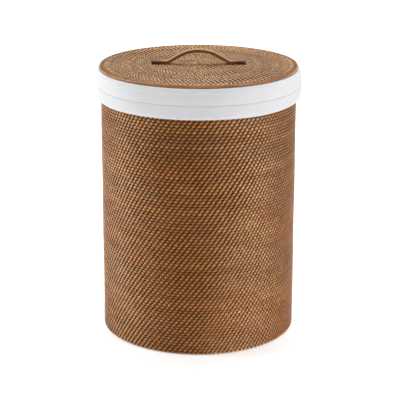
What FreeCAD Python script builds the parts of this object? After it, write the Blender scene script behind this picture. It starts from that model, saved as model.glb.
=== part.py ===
"""Round lidded laundry basket of coiled rattan with a fold-over cotton liner.

Units are millimetres. +Z is up, the origin is the centre of the underside, and
the lid's handle runs along X. Every separate physical piece is one node.
"""
import os

import FreeCAD
import Part
from FreeCAD import Vector

# ---- woven wall ------------------------------------------------------------
WALL_R = 200.0            # outside of the wrapped wall
WALL_T = 6.5              # wall thickness over the wrapping
WRAP_T = 0.9              # thickness of the split-rattan wrapping
WALL_TOP = 541.0          # top of the last plain coil
WRAP_FOOT = 0.8           # the wrapping stops short of the floor

# ---- rim of the basket -----------------------------------------------------
RIM_IN_R = 192.9
RIM_OUT_R = 200.2
RIM_TOP = 549.0

# ---- base ------------------------------------------------------------------
BASE_R = 193.4            # fits inside the wall with a hair of play
BASE_Z = 0.6
BASE_T = 6.2

# ---- cotton liner ----------------------------------------------------------
CLOTH_T = 1.2
LINER_OUT_R = 190.8
LINER_FLOOR_Z = 7.2
FOLD_Z = 549.3            # underside of the cloth where it turns over the rim
CUFF_OUT_R = 206.6
HEM_TOP = 517.5
HEM_BOTTOM = 488.6
HEM_T = 2.4               # hem is turned up double
HEM_TUCK = 5.7            # how far the lower edge draws in to the wall
HEM_TUCK_H = 11.5         # height over which it draws in
THREAD = 0.4
SKIN_GAP = 0.05           # play between curved faces that lie against each other
SEAM_W = 12.0
SEAM_ALLOWANCE_W = 9.4    # width of the seam allowance round the liner's floor

# ---- lid -------------------------------------------------------------------
LID_BOTTOM = 550.8
LID_HOOP_OUT_R = 202.2
LID_HOOP_IN_R = 197.6
LID_HOOP_H = 6.9
LID_HOOP_BEVEL = 1.2
INNER_HOOP_IN_R = 193.1
INNER_HOOP_Z = 552.4
INNER_HOOP_H = 5.2
INNER_HOOP_BEVEL = 0.9
LID_COIL_R = 193.0
LID_WEAVE_Z = 551.1
LID_WEAVE_T = 6.4
LID_FACE_Z = LID_WEAVE_Z + LID_WEAVE_T
LOCATING_IN_R = 178.0
LOCATING_OUT_R = 184.0
LOCATING_H = 7.6

# ---- handle ----------------------------------------------------------------
STRAP_W = 15.2
STRAP_T = 6.6
STRAP_FOOT = 30.3         # straight part of each foot
FOOT_BEND_R = 12.0
RAMP_ANGLE = 30.0
RAMP_L = 23.4
CROWN_R = 79.0
STRAP_END_ROUND = 3.0
SCREW_X = (75.0, 89.0)    # two screws in each foot

# ---- fixings ---------------------------------------------------------------
SCREW_R = 1.6
SCREW_HOLE_R = 1.65
SCREW_TIP_Z = 562.4
SCREW_HOLE_TOP_Z = 562.7
SCREW_HEAD_R = 3.2
SCREW_HEAD_H = 1.8
WASHER_R = 6.0
WASHER_T = 1.0
NAIL_COUNT = 12
NAIL_R = 0.7
NAIL_HOLE_R = 0.75
NAIL_HEAD_R = 1.1
NAIL_HEAD_T = 0.3
NAIL_TIP_R = 194.6
NAIL_HOLE_END_R = 194.4


def disc(radius, z_low, z_high):
    """Flat round solid about the Z axis."""
    return Part.makeCylinder(radius, z_high - z_low, Vector(0, 0, z_low))


def ring(inner_r, outer_r, z_low, z_high):
    """Plain tube about the Z axis."""
    return disc(outer_r, z_low, z_high).cut(disc(inner_r, z_low, z_high))


def bevelled_ring(inner_r, outer_r, z_low, z_high, bevel):
    """Tube about the Z axis with all four circular edges bevelled."""
    solid = ring(inner_r, outer_r, z_low, z_high)
    rims = [edge for edge in solid.Edges if isinstance(edge.Curve, Part.Circle)]
    return solid.makeChamfer(bevel, rims)


def revolved(profile):
    """Solid of revolution about Z from a closed list of edges in the XZ plane."""
    face = Part.Face(Part.Wire(profile))
    return face.revolve(Vector(0, 0, 0), Vector(0, 0, 1), 360)


def arc(start, middle, end):
    """Circular edge through three XZ points."""
    points = [Vector(x, 0, z) for x, z in (start, middle, end)]
    return Part.Arc(*points).toShape()


def line(start, end):
    """Straight edge between two XZ points."""
    return Part.makeLine(Vector(start[0], 0, start[1]), Vector(end[0], 0, end[1]))


def strip_profile(moves, thickness):
    """Face in the XZ plane of a strip that starts at the origin heading +X.

    Each move is ("run", length) or ("bend", centreline radius, turn in degrees),
    where a positive turn rises. Returns the face and the end of the centreline.
    """
    half = thickness / 2
    position = FreeCAD.Vector(0, 0, 0)
    heading = 0.0
    upper, lower = [], []

    def unit(angle):
        return FreeCAD.Rotation(Vector(0, -1, 0), angle).multVec(Vector(1, 0, 0))

    def sides(point, angle):
        normal = unit(angle + 90)
        return point + normal * half, point - normal * half

    start_up, start_low = sides(position, heading)
    up, low = start_up, start_low
    for move in moves:
        if move[0] == "run":
            position = position + unit(heading) * move[1]
            new_up, new_low = sides(position, heading)
            upper.append(Part.makeLine(up, new_up))
            lower.append(Part.makeLine(low, new_low))
        else:
            radius, turn = move[1], move[2]
            side = 1 if turn > 0 else -1
            centre = position + unit(heading + 90 * side) * radius
            middle = heading + turn / 2
            mid_point = centre - unit(middle + 90 * side) * radius
            mid_up, mid_low = sides(mid_point, middle)
            heading += turn
            position = centre - unit(heading + 90 * side) * radius
            new_up, new_low = sides(position, heading)
            upper.append(Part.Arc(up, mid_up, new_up).toShape())
            lower.append(Part.Arc(low, mid_low, new_low).toShape())
        up, low = new_up, new_low
    closing = [Part.makeLine(start_low, start_up), Part.makeLine(up, low)]
    edges = Part.sortEdges(upper + lower + closing)[0]
    return Part.Face(Part.Wire(edges)), position


def channel(inner_r, outer_r, z_low, z_high, wall, opening_up):
    """Ring of U section that wraps three sides of a coil.

    The open side faces down by default and up if opening_up is set.
    """
    outer = ring(inner_r, outer_r, z_low, z_high)
    core_low = z_low + wall if opening_up else z_low
    core_high = z_high if opening_up else z_high - wall
    return outer.cut(ring(inner_r + wall, outer_r - wall, core_low, core_high))


def screw_places():
    """Centres of the handle's screws in the XY plane."""
    return [Vector(side * x, 0, 0) for side in (-1, 1) for x in SCREW_X]


def drill(solid, radius, z_low, z_high):
    """Cut the handle's screw holes through a solid."""
    for place in screw_places():
        start = place + Vector(0, 0, z_low)
        solid = solid.cut(Part.makeCylinder(radius, z_high - z_low, start))
    return solid


def radial_pins(radius, start_r, end_r, height, count):
    """Round pins that lie along evenly spaced radii, half a step off the X axis."""
    pins = []
    for index in range(count):
        pin = Part.makeCylinder(
            radius, end_r - start_r, Vector(start_r, 0, height), Vector(1, 0, 0)
        )
        pin.rotate(Vector(0, 0, 0), Vector(0, 0, 1), (index + 0.5) * 360 / count)
        pins.append(pin)
    return pins


def build_wall():
    """Coiled cane wall and the wrapping on both of its faces."""
    inner_r = WALL_R - WALL_T
    coil = ring(inner_r + WRAP_T, WALL_R - WRAP_T, 0, WALL_TOP)
    outside = ring(
        WALL_R - WRAP_T + SKIN_GAP, WALL_R, WRAP_FOOT, WALL_TOP
    )
    inside = ring(
        inner_r, inner_r + WRAP_T - SKIN_GAP, WRAP_FOOT, WALL_TOP
    )
    return {"wall_coil": coil, "wall_lashing": Part.makeCompound([outside, inside])}


def build_rim():
    """Thicker last coil at the mouth and the wrapping over it."""
    wrap = channel(RIM_IN_R, RIM_OUT_R, WALL_TOP, RIM_TOP, WRAP_T, False)
    hoop = ring(
        RIM_IN_R + WRAP_T + SKIN_GAP,
        RIM_OUT_R - WRAP_T - SKIN_GAP,
        WALL_TOP,
        RIM_TOP - WRAP_T,
    )
    return {"rim_hoop": hoop, "rim_lashing": wrap}


def build_base():
    """Flat spiral of cane in the bottom and the wrapping on both of its faces."""
    low, high = BASE_Z, BASE_Z + BASE_T
    coil = disc(BASE_R, low + WRAP_T, high - WRAP_T)
    skins = [
        disc(BASE_R, low, low + WRAP_T),
        disc(BASE_R, high - WRAP_T, high),
    ]
    return {"base_coil": coil, "base_lashing": Part.makeCompound(skins)}


def build_liner():
    """Cotton bag inside the basket, turned over the rim into a hemmed cuff."""
    inner_r = LINER_OUT_R - CLOTH_T
    floor_top = LINER_FLOOR_Z + CLOTH_T
    side = ring(inner_r, LINER_OUT_R, LINER_FLOOR_Z, FOLD_Z)
    floor = disc(inner_r - SKIN_GAP, LINER_FLOOR_Z, floor_top)
    fold = rounded_fold(inner_r)
    cuff = ring(CUFF_OUT_R - CLOTH_T, CUFF_OUT_R, HEM_TOP, FOLD_Z)
    return {
        "liner_side": side,
        "liner_base": floor,
        "liner_fold": fold,
        "liner_cuff": cuff,
        "liner_hem": build_hem(),
        "hem_stitching": ring(
            CUFF_OUT_R + SKIN_GAP,
            CUFF_OUT_R + SKIN_GAP + THREAD,
            HEM_TOP - 2.0,
            HEM_TOP - 1.2,
        ),
        "base_seam": ring(
            inner_r - SKIN_GAP - SEAM_ALLOWANCE_W,
            inner_r - 2 * SKIN_GAP,
            floor_top,
            floor_top + CLOTH_T,
        ),
        **build_seams(inner_r, floor_top),
    }


def rounded_fold(inner_r):
    """Cloth lying over the rim, rounded where it turns down outside."""
    fold = ring(inner_r, CUFF_OUT_R, FOLD_Z, FOLD_Z + CLOTH_T)
    turned = [
        edge
        for edge in fold.Edges
        if isinstance(edge.Curve, Part.Circle)
        and edge.BoundBox.ZMin > FOLD_Z + CLOTH_T / 2
    ]
    return fold.makeFillet(CLOTH_T * 0.8, turned)


def build_hem():
    """Doubled lower half of the cuff, drawn in to the wall at its edge."""
    outer_r = CUFF_OUT_R
    inner_r = CUFF_OUT_R - HEM_T
    knee = HEM_BOTTOM + HEM_TUCK_H
    outer_foot = (outer_r - HEM_TUCK, HEM_BOTTOM + 0.8)
    inner_foot = (inner_r - HEM_TUCK + 2.4, HEM_BOTTOM)
    outer_mid = (outer_r - HEM_TUCK * 0.30, HEM_BOTTOM + HEM_TUCK_H * 0.40)
    inner_mid = (inner_r - (HEM_TUCK - 2.4) * 0.36, HEM_BOTTOM + HEM_TUCK_H * 0.42)
    edges = [
        line((inner_r, HEM_TOP), (outer_r, HEM_TOP)),
        line((outer_r, HEM_TOP), (outer_r, knee)),
        arc((outer_r, knee), outer_mid, outer_foot),
        line(outer_foot, inner_foot),
        arc(inner_foot, inner_mid, (inner_r, knee)),
        line((inner_r, knee), (inner_r, HEM_TOP)),
    ]
    return revolved(edges)


def build_seams(inner_r, floor_top):
    """Upright seam at the back of the bag, its stitching, and its end on the cuff."""
    seam_y = inner_r - SKIN_GAP - CLOTH_T - 0.1
    seam_low = floor_top + CLOTH_T + 0.2
    side_seam = Part.makeBox(
        SEAM_W, CLOTH_T, FOLD_Z - seam_low, Vector(-SEAM_W / 2, seam_y, seam_low)
    )
    stitches = [
        Part.makeBox(
            0.8, THREAD, FOLD_Z - seam_low, Vector(x - 0.4, seam_y - THREAD, seam_low)
        )
        for x in (-SEAM_W / 4, SEAM_W / 4)
    ]
    cuff_seam = Part.makeBox(
        SEAM_W / 2,
        THREAD,
        FOLD_Z - HEM_TOP,
        Vector(-SEAM_W / 4, CUFF_OUT_R + SKIN_GAP, HEM_TOP),
    )
    return {
        "side_seam": side_seam,
        "seam_stitching": Part.makeCompound(stitches),
        "cuff_seam": cuff_seam,
    }


def build_lid():
    """Flat coiled lid, its two peeled-cane hoops and the ring that centres it."""
    hoop_top = LID_BOTTOM + LID_HOOP_H
    hoop = bevelled_ring(
        LID_HOOP_IN_R, LID_HOOP_OUT_R, LID_BOTTOM, hoop_top, LID_HOOP_BEVEL
    )
    inner_hoop = bevelled_ring(
        INNER_HOOP_IN_R,
        LID_HOOP_IN_R - SKIN_GAP,
        INNER_HOOP_Z,
        INNER_HOOP_Z + INNER_HOOP_H,
        INNER_HOOP_BEVEL,
    )
    nail_z = INNER_HOOP_Z + INNER_HOOP_H / 2
    for hole in radial_pins(
        NAIL_HOLE_R, NAIL_HOLE_END_R, LID_HOOP_OUT_R + 1, nail_z, NAIL_COUNT
    ):
        hoop = hoop.cut(hole)
        inner_hoop = inner_hoop.cut(hole)
    shanks = radial_pins(NAIL_R, NAIL_TIP_R, LID_HOOP_OUT_R + 0.1, nail_z, NAIL_COUNT)
    heads = radial_pins(
        NAIL_HEAD_R,
        LID_HOOP_OUT_R + SKIN_GAP,
        LID_HOOP_OUT_R + NAIL_HEAD_T,
        nail_z,
        NAIL_COUNT,
    )
    nails = [shank.fuse(head) for shank, head in zip(shanks, heads)]

    coil = disc(LID_COIL_R, LID_WEAVE_Z + WRAP_T, LID_FACE_Z - WRAP_T)
    skins = [
        disc(LID_COIL_R, LID_WEAVE_Z, LID_WEAVE_Z + WRAP_T),
        disc(LID_COIL_R, LID_FACE_Z - WRAP_T, LID_FACE_Z),
    ]
    skins = [drill(skin, SCREW_HOLE_R, LID_WEAVE_Z, LID_FACE_Z) for skin in skins]
    ring_low = LID_WEAVE_Z - LOCATING_H
    ring_wrap = channel(
        LOCATING_IN_R, LOCATING_OUT_R, ring_low, LID_WEAVE_Z, WRAP_T, True
    )
    ring_core = ring(
        LOCATING_IN_R + WRAP_T + SKIN_GAP,
        LOCATING_OUT_R - WRAP_T - SKIN_GAP,
        ring_low + WRAP_T,
        LID_WEAVE_Z,
    )
    return {
        "lid_coil": drill(coil, SCREW_HOLE_R, LID_WEAVE_Z, LID_FACE_Z),
        "lid_lashing": Part.makeCompound(skins),
        "lid_outer_hoop": hoop,
        "lid_inner_hoop": inner_hoop,
        "hoop_nails": Part.makeCompound(nails),
        "locating_ring": ring_core,
        "ring_lashing": ring_wrap,
    }


def build_handle():
    """Bent strap across the middle of the lid, screwed on from underneath."""
    moves = [
        ("run", STRAP_FOOT),
        ("bend", FOOT_BEND_R, RAMP_ANGLE),
        ("run", RAMP_L),
        ("bend", CROWN_R, -2 * RAMP_ANGLE),
        ("run", RAMP_L),
        ("bend", FOOT_BEND_R, RAMP_ANGLE),
        ("run", STRAP_FOOT),
    ]
    profile, end = strip_profile(moves, STRAP_T)
    strap = profile.extrude(Vector(0, STRAP_W, 0))
    strap.translate(
        Vector(-end.x / 2, -STRAP_W / 2, LID_FACE_Z + STRAP_T / 2)
    )
    half_length = end.x / 2
    corners = [
        edge
        for edge in strap.Edges
        if abs(abs(edge.CenterOfMass.x) - half_length) < 0.01
        and edge.BoundBox.ZLength > STRAP_T / 2
    ]
    strap = strap.makeFillet(STRAP_END_ROUND, corners)
    strap = drill(strap, SCREW_HOLE_R, LID_FACE_Z - 1, SCREW_HOLE_TOP_Z)

    screws, washers = [], []
    washer_low = LID_WEAVE_Z - WASHER_T
    for place in screw_places():
        shank_start = place + Vector(0, 0, washer_low)
        head_start = shank_start - Vector(0, 0, SCREW_HEAD_H)
        washer = Part.makeCylinder(WASHER_R, WASHER_T, shank_start)
        bore = Part.makeCylinder(SCREW_HOLE_R, WASHER_T, shank_start)
        washers.append(washer.cut(bore))
        shank = Part.makeCylinder(SCREW_R, SCREW_TIP_Z - washer_low, shank_start)
        head = Part.makeCylinder(SCREW_HEAD_R, SCREW_HEAD_H, head_start)
        screws.append(shank.fuse(head))
    return {
        "handle_strap": strap,
        "handle_screws": Part.makeCompound(screws),
        "handle_washers": Part.makeCompound(washers),
    }


def main():
    """Build every node and write one STEP file for each."""
    os.makedirs("parts", exist_ok=True)
    nodes = {}
    for build in (build_wall, build_rim, build_base, build_liner, build_lid, build_handle):
        nodes.update(build())
    for name, shape in nodes.items():
        shape.exportStep("parts/" + name + ".step")
        box = shape.BoundBox
        print(
            f"{name:16s} solids {len(shape.Solids):3d} valid {shape.isValid()} "
            f"volume {shape.Volume / 1000:9.2f} cm3 z {box.ZMin:7.2f} to {box.ZMax:7.2f}"
        )


main()
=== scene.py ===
"""Round coiled-rattan laundry basket with a cotton liner and a flat woven lid.

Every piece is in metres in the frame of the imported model: +Z is up, the origin
is the centre of the underside, and the lid's handle runs along X.
"""
import logging
import math
from dataclasses import dataclass, field
from enum import Enum

import bpy
import numpy as np
from mathutils import Euler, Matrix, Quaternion, Vector


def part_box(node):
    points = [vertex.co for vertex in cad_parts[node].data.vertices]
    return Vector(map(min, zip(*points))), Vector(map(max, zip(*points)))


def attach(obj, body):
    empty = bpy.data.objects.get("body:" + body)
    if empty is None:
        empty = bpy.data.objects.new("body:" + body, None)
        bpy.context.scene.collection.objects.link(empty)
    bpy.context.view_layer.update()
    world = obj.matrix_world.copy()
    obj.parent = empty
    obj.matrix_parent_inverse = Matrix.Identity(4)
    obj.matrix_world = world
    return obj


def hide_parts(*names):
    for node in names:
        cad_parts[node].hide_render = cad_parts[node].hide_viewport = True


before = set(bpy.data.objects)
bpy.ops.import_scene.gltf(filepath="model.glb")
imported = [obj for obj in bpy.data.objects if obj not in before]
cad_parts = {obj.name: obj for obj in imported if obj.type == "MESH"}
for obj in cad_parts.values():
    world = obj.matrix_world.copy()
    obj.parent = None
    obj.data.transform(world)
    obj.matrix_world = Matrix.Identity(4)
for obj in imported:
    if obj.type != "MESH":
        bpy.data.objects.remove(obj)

log = logging.getLogger("basket")

MM = 0.001
BACK = math.pi / 2  # the angle about Z at which every coil steps to its next round
WHITE = (1.0, 1.0, 1.0, 1.0)
EDGE_ANGLE = 50.0  # in degrees: sharper edges stay sharp when a piece is shaded

Colour = tuple[float, float, float]
Profile = list[tuple[float, float]]
Waves = tuple[tuple[float, float, float, float], ...]


class Side(Enum):
    """Which way the face of a coiled wall looks."""

    OUTWARD = "outward"
    UPWARD = "upward"


# ---------------------------------------------------------------------------
# Mesh helpers
# ---------------------------------------------------------------------------


def deselect_all() -> None:
    """Clear the selection, so that an operator acts only on what is added next."""
    if bpy.context.mode != "OBJECT":
        bpy.ops.object.mode_set(mode="OBJECT")
    bpy.ops.object.select_all(action="DESELECT")


def take(piece: bpy.types.Object) -> None:
    """Make a piece the only selected and active object.

    Args:
        piece: the object to select.
    """
    deselect_all()
    piece.select_set(True)
    bpy.context.view_layer.objects.active = piece


def added(name: str) -> bpy.types.Object:
    """Name the primitive just added and put its place into its mesh.

    Args:
        name: the piece's name.

    Returns:
        The finished object at the origin.
    """
    piece = bpy.context.active_object
    piece.name = name
    piece.data.name = name
    bpy.ops.object.transform_apply(location=True, rotation=True, scale=True)
    return piece


def get_points(piece: bpy.types.Object) -> np.ndarray:
    """Read a piece's vertices as an N by 3 array."""
    values = np.empty(len(piece.data.vertices) * 3)
    piece.data.vertices.foreach_get("co", values)
    return values.reshape(-1, 3)


def set_points(piece: bpy.types.Object, points: np.ndarray) -> None:
    """Write a piece's vertices back from an N by 3 array."""
    piece.data.vertices.foreach_set("co", np.ascontiguousarray(points).ravel())
    piece.data.update()


def mesh_piece(
    name: str, points: np.ndarray, faces: np.ndarray | list
) -> bpy.types.Object:
    """Make an object from points and faces.

    Args:
        name: the piece's name.
        points: N by 3 vertex places.
        faces: vertex numbers of each face.

    Returns:
        The new object, linked to the scene.
    """
    data = bpy.data.meshes.new(name)
    listed = faces.tolist() if isinstance(faces, np.ndarray) else faces
    data.from_pydata(points.tolist(), [], listed)
    data.update()
    piece = bpy.data.objects.new(name, data)
    bpy.context.collection.objects.link(piece)
    return piece


def apply_modifier(piece: bpy.types.Object, kind: str, **settings) -> None:
    """Add one modifier and apply it.

    Args:
        piece: the object to change.
        kind: Blender's name for the modifier type.
        **settings: the modifier's own settings.
    """
    take(piece)
    modifier = piece.modifiers.new(kind.title(), kind)
    for key, value in settings.items():
        setattr(modifier, key, value)
    bpy.ops.object.modifier_apply(modifier=modifier.name)


def in_edit(piece: bpy.types.Object) -> None:
    """Open a piece in edit mode with every vertex selected."""
    take(piece)
    bpy.ops.object.mode_set(mode="EDIT")
    bpy.ops.mesh.select_mode(type="VERT")
    bpy.ops.mesh.select_all(action="SELECT")


def face_outwards(piece: bpy.types.Object, merge: float = 1e-6) -> None:
    """Merge doubles and turn every face to look out of the solid."""
    in_edit(piece)
    bpy.ops.mesh.remove_doubles(threshold=merge)
    bpy.ops.mesh.normals_make_consistent(inside=False)
    bpy.ops.object.mode_set(mode="OBJECT")


def smooth(piece: bpy.types.Object, angle: float = 180.0) -> None:
    """Shade a piece smooth, keeping edges sharper than an angle in degrees."""
    take(piece)
    if angle >= 180:
        bpy.ops.object.shade_smooth()
    else:
        bpy.ops.object.shade_smooth_by_angle(angle=math.radians(angle))


def store(piece: bpy.types.Object, name: str, values: np.ndarray) -> None:
    """Keep one vector for each vertex as a named attribute for the materials."""
    layer = piece.data.attributes.new(name, "FLOAT_VECTOR", "POINT")
    layer.data.foreach_set("vector", np.ascontiguousarray(values, dtype=float).ravel())


def take_apart(piece: bpy.types.Object) -> tuple[np.ndarray, list[list[int]]]:
    """Read a form's vertices and faces and remove it from the scene.

    Args:
        piece: an object that only served as a form.

    Returns:
        Its vertices as an N by 3 array, and the vertex numbers of its faces.
    """
    points = get_points(piece)
    mesh = piece.data
    faces = [list(face.vertices) for face in mesh.polygons]
    bpy.data.objects.remove(piece)
    bpy.data.meshes.remove(mesh)
    return points, faces


def polar(points: np.ndarray) -> tuple[np.ndarray, np.ndarray]:
    """Return each point's distance from the Z axis and its angle about it."""
    return np.hypot(points[:, 0], points[:, 1]), np.arctan2(points[:, 1], points[:, 0])


def pushed_out(points: np.ndarray, out: np.ndarray) -> np.ndarray:
    """Move points away from the Z axis, each by its own distance."""
    scale = 1 + out / np.maximum(polar(points)[0], 1e-6)
    return points * np.stack([scale, scale, np.ones(len(points))], axis=1)


def waves(table: Waves, angle: np.ndarray, height: np.ndarray | float = 0.0) -> np.ndarray:
    """Add up waves round the Z axis.

    Args:
        table: size in millimetres, waves in a turn, lean with height and phase.
        angle: angle of each point about Z.
        height: height of each point.

    Returns:
        One distance in metres for each point.
    """
    return MM * sum(
        size * np.sin(turns * angle + lean * height + phase)
        for size, turns, lean, phase in table
    )


def eased(share: np.ndarray) -> np.ndarray:
    """Limit shares to 0 to 1 and ease them in and out."""
    share = np.clip(share, 0, 1)
    return share * share * (3 - 2 * share)


def unit(vectors: np.ndarray) -> np.ndarray:
    """Scale every row of an N by 3 array to a length of one."""
    return vectors / np.linalg.norm(vectors, axis=1)[:, None]


def spun(name: str, profile: Profile, steps: int) -> bpy.types.Object:
    """Spin an open profile about Z into a thin skin with a UV map in metres.

    Args:
        name: the piece's name.
        profile: (radius, height) pairs in order.
        steps: how many faces go round.

    Returns:
        The skin, with U along the round and V along the profile.
    """
    piece = mesh_piece(name, np.array([(r, 0.0, z) for r, z in profile]), [])
    piece.data.edges.add(len(profile) - 1)
    pairs = [(i, i + 1) for i in range(len(profile) - 1)]
    piece.data.edges.foreach_set("vertices", np.array(pairs).ravel())
    piece.data.update()
    in_edit(piece)
    bpy.ops.mesh.spin(
        steps=steps, angle=2 * math.pi, center=(0, 0, 0), axis=(0, 0, 1)
    )
    bpy.ops.object.mode_set(mode="OBJECT")
    face_outwards(piece)
    lay_cloth_map(piece, profile)
    return piece


def lay_cloth_map(piece: bpy.types.Object, profile: Profile) -> None:
    """Give a spun skin a UV map that runs with the cloth.

    Args:
        piece: the spun skin.
        profile: the (radius, height) pairs it was spun from.
    """
    line = np.array(profile)
    along = np.concatenate([[0.0], np.cumsum(np.hypot(*np.diff(line, axis=0).T))])
    points = get_points(piece)
    radius, angle = polar(points)
    gap = (radius[:, None] - line[:, 0]) ** 2 + (points[:, 2][:, None] - line[:, 1]) ** 2
    v = along[gap.argmin(axis=1)]
    mesh = piece.data
    corner = np.empty(len(mesh.loops), int)
    mesh.loops.foreach_get("vertex_index", corner)
    start = np.empty(len(mesh.polygons), int)
    total = np.empty(len(mesh.polygons), int)
    mesh.polygons.foreach_get("loop_start", start)
    mesh.polygons.foreach_get("loop_total", total)
    face = np.repeat(np.arange(len(start)), total)
    turn = angle[corner]
    # a face that crosses the end of the round has its low corners moved up a turn
    spread = np.zeros(len(start))
    np.maximum.at(spread, face, np.abs(turn - turn[start][face]))
    turn = np.where((spread > math.pi)[face] & (turn < 0), turn + 2 * math.pi, turn)
    uv = np.stack([turn * line[:, 0].mean(), v[corner]], axis=1)
    layer = mesh.uv_layers.new(name="cloth")
    layer.data.foreach_set("uv", uv.ravel())


# ---------------------------------------------------------------------------
# Finishes
# ---------------------------------------------------------------------------


class Recipe:
    """Small helper that wires the nodes of one material."""

    def __init__(self, name: str) -> None:
        """Start a material with a Principled surface."""
        self.material = bpy.data.materials.new(name)
        self.material.use_nodes = True
        self.tree = self.material.node_tree
        self.surface = self.tree.nodes["Principled BSDF"]

    def node(self, kind: str, **values) -> bpy.types.Node:
        """Add a node, setting its properties or, where it has none, its sockets."""
        made = self.tree.nodes.new(kind)
        for key, value in values.items():
            if hasattr(made, key):
                setattr(made, key, value)
            else:
                made.inputs[key.replace("_", " ").title()].default_value = value
        return made

    def join(self, source, target) -> None:
        """Link an output socket to an input socket."""
        self.tree.links.new(source, target)

    def math(self, operation: str, *terms, clamp: bool = False):
        """Do sums on sockets or numbers and return the result's socket."""
        made = self.node("ShaderNodeMath", operation=operation, use_clamp=clamp)
        for socket, term in zip(made.inputs, terms):
            if isinstance(term, (int, float)):
                socket.default_value = term
            else:
                self.join(term, socket)
        return made.outputs[0]

    def mix(self, share, first, second, blend: str = "MIX"):
        """Mix two colours, each a socket or an RGB triple, and return the socket."""
        made = self.node("ShaderNodeMix", data_type="RGBA", blend_type=blend)
        for socket, term in ((made.inputs[0], share), (made.inputs[6], first),
                             (made.inputs[7], second)):
            if isinstance(term, (int, float)):
                socket.default_value = term
            elif isinstance(term, tuple):
                socket.default_value = (*term, 1.0)
            else:
                self.join(term, socket)
        return made.outputs[2]

    def ramp(self, value, *stops: tuple[float, Colour], steps: bool = False):
        """Turn a value into a colour through the given stops."""
        made = self.node("ShaderNodeValToRGB")
        made.color_ramp.interpolation = "CONSTANT" if steps else "LINEAR"
        elements = made.color_ramp.elements
        while len(elements) < len(stops):
            elements.new(0.5)
        for element, (place, colour) in zip(elements, stops):
            element.position = place
            element.color = (*colour, 1.0)
        self.join(value, made.inputs[0])
        return made.outputs[0]

    def noise(self, vector, scale: float, detail: float = 2.0, rough: float = 0.5):
        """Add a noise pattern on a vector socket and return its value."""
        made = self.node("ShaderNodeTexNoise", scale=scale, detail=detail)
        made.inputs["Roughness"].default_value = rough
        self.join(vector, made.inputs["Vector"])
        return made.outputs[0]

    def stretch(self, vector, x: float, y: float, z: float):
        """Scale a vector by three numbers."""
        made = self.node("ShaderNodeVectorMath", operation="MULTIPLY")
        made.inputs[1].default_value = (x, y, z)
        self.join(vector, made.inputs[0])
        return made.outputs[0]

    def attribute(self, name: str):
        """Read a stored vector and return its vector socket."""
        return self.node("ShaderNodeAttribute", attribute_name=name).outputs["Vector"]

    def split(self, vector):
        """Take a vector apart and return its three sockets."""
        made = self.node("ShaderNodeSeparateXYZ")
        self.join(vector, made.inputs[0])
        return made.outputs

    def place(self):
        """Return the Object coordinates, which are metres in the model's frame."""
        return self.node("ShaderNodeTexCoord").outputs["Object"]

    def bump(self, height, distance: float, strength: float = 1.0) -> None:
        """Send a height to the surface's normal."""
        made = self.node("ShaderNodeBump", strength=strength, distance=distance)
        self.join(height, made.inputs["Height"])
        self.join(made.outputs[0], self.surface.inputs["Normal"])

    def grey(self, value):
        """Turn a number into a grey colour and return the socket."""
        made = self.node("ShaderNodeCombineColor")
        for socket in made.inputs[:3]:
            self.join(value, socket)
        return made.outputs[0]

    def shade(self, colour, value, gain: float, least: float):
        """Multiply a colour by a value times a gain plus a least figure."""
        factor = self.math("MULTIPLY_ADD", value, gain, least)
        return self.mix(1.0, colour, self.grey(factor), "MULTIPLY")

    def colour(self, socket) -> None:
        """Send a colour to the surface."""
        self.join(socket, self.surface.inputs["Base Color"])

    def rough(self, value, gain: float, least: float) -> None:
        """Send a value times a gain plus a least figure to the roughness."""
        rough = self.math("MULTIPLY_ADD", value, gain, least)
        self.join(rough, self.surface.inputs["Roughness"])

    def fixed(self, **values: float) -> None:
        """Set plain values on the surface's own sockets."""
        sockets = {socket.name.lower(): socket for socket in self.surface.inputs}
        for key, value in values.items():
            sockets[key.replace("_", " ")].default_value = value


@dataclass(frozen=True)
class LashingFinish:
    """Varnished split rattan, each strand its own brown, with painted shade at its edges and
    ends and painted sheen in zones round the wall.

    The pieces carry three attributes: "strand" (tint of the strand, tint of the single
    stitch, painted shade share: 1 on the crown, less at the edges and ends), "grain"
    (across, along, seed) and "faded" (painted sheen: how far the stitch is paled, in its
    first part).
    """

    name: str
    tints: tuple[Colour, ...]
    edge_shade: float = 0.78
    gloss: float = 0.32
    varnish: float = 0.12
    # colour of the painted sheen that the stitches are paled towards
    pale: Colour = (0.900, 0.545, 0.305)
    golden: Colour = (1.00, 1.00, 0.78)
    rosy: Colour = (0.96, 0.84, 1.00)
    sheen_tint: Colour = (1.0, 0.72, 0.42)
    fibre_scale: Colour = (2200.0, 160.0, 40.0)
    stain_scale: Colour = (11.0, 11.0, 22.0)
    fibre_depth: float = 0.00025

    def build(self) -> bpy.types.Material:
        """Wire the material."""
        r = Recipe(self.name)
        # crown is the painted shade share, 1 on the crown of a strand
        strand, single, crown = r.split(r.attribute("strand"))
        fibres = r.noise(r.stretch(r.attribute("grain"), *self.fibre_scale), 1.0, 3.0, 0.6)
        stops = [(i / len(self.tints), tint) for i, tint in enumerate(self.tints)]
        base = r.ramp(strand, *stops, steps=True)
        base = r.shade(base, single, 0.40, 0.80)
        base = r.shade(base, fibres, 0.55, 0.72)
        base = r.shade(base, r.noise(r.place(), 9.0, 2.0), 0.5, 0.75)
        stain = r.noise(r.stretch(r.place(), *self.stain_scale), 1.0, 2.0)
        hue = r.ramp(stain, (0.36, self.rosy), (0.64, self.golden))
        base = r.mix(1.0, base, hue, "MULTIPLY")
        # painted sheen: stitches are mixed towards the pale colour where side light would
        # glance off them
        base = r.mix(r.split(r.attribute("painted_sheen"))[0], base, self.pale)
        # painted shade: the strand is darkened by edge_shade at its edges and where it dives
        # between coils
        r.colour(r.shade(base, crown, 1.0 - self.edge_shade, self.edge_shade))
        r.rough(fibres, 0.22, self.gloss - 0.08)
        r.bump(fibres, self.fibre_depth, 0.6)
        r.fixed(coat_weight=self.varnish, coat_roughness=0.38, specular_ior_level=1.0,
                ior=1.68, specular_tint=(*self.sheen_tint, 1.0))
        return r.material


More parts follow.
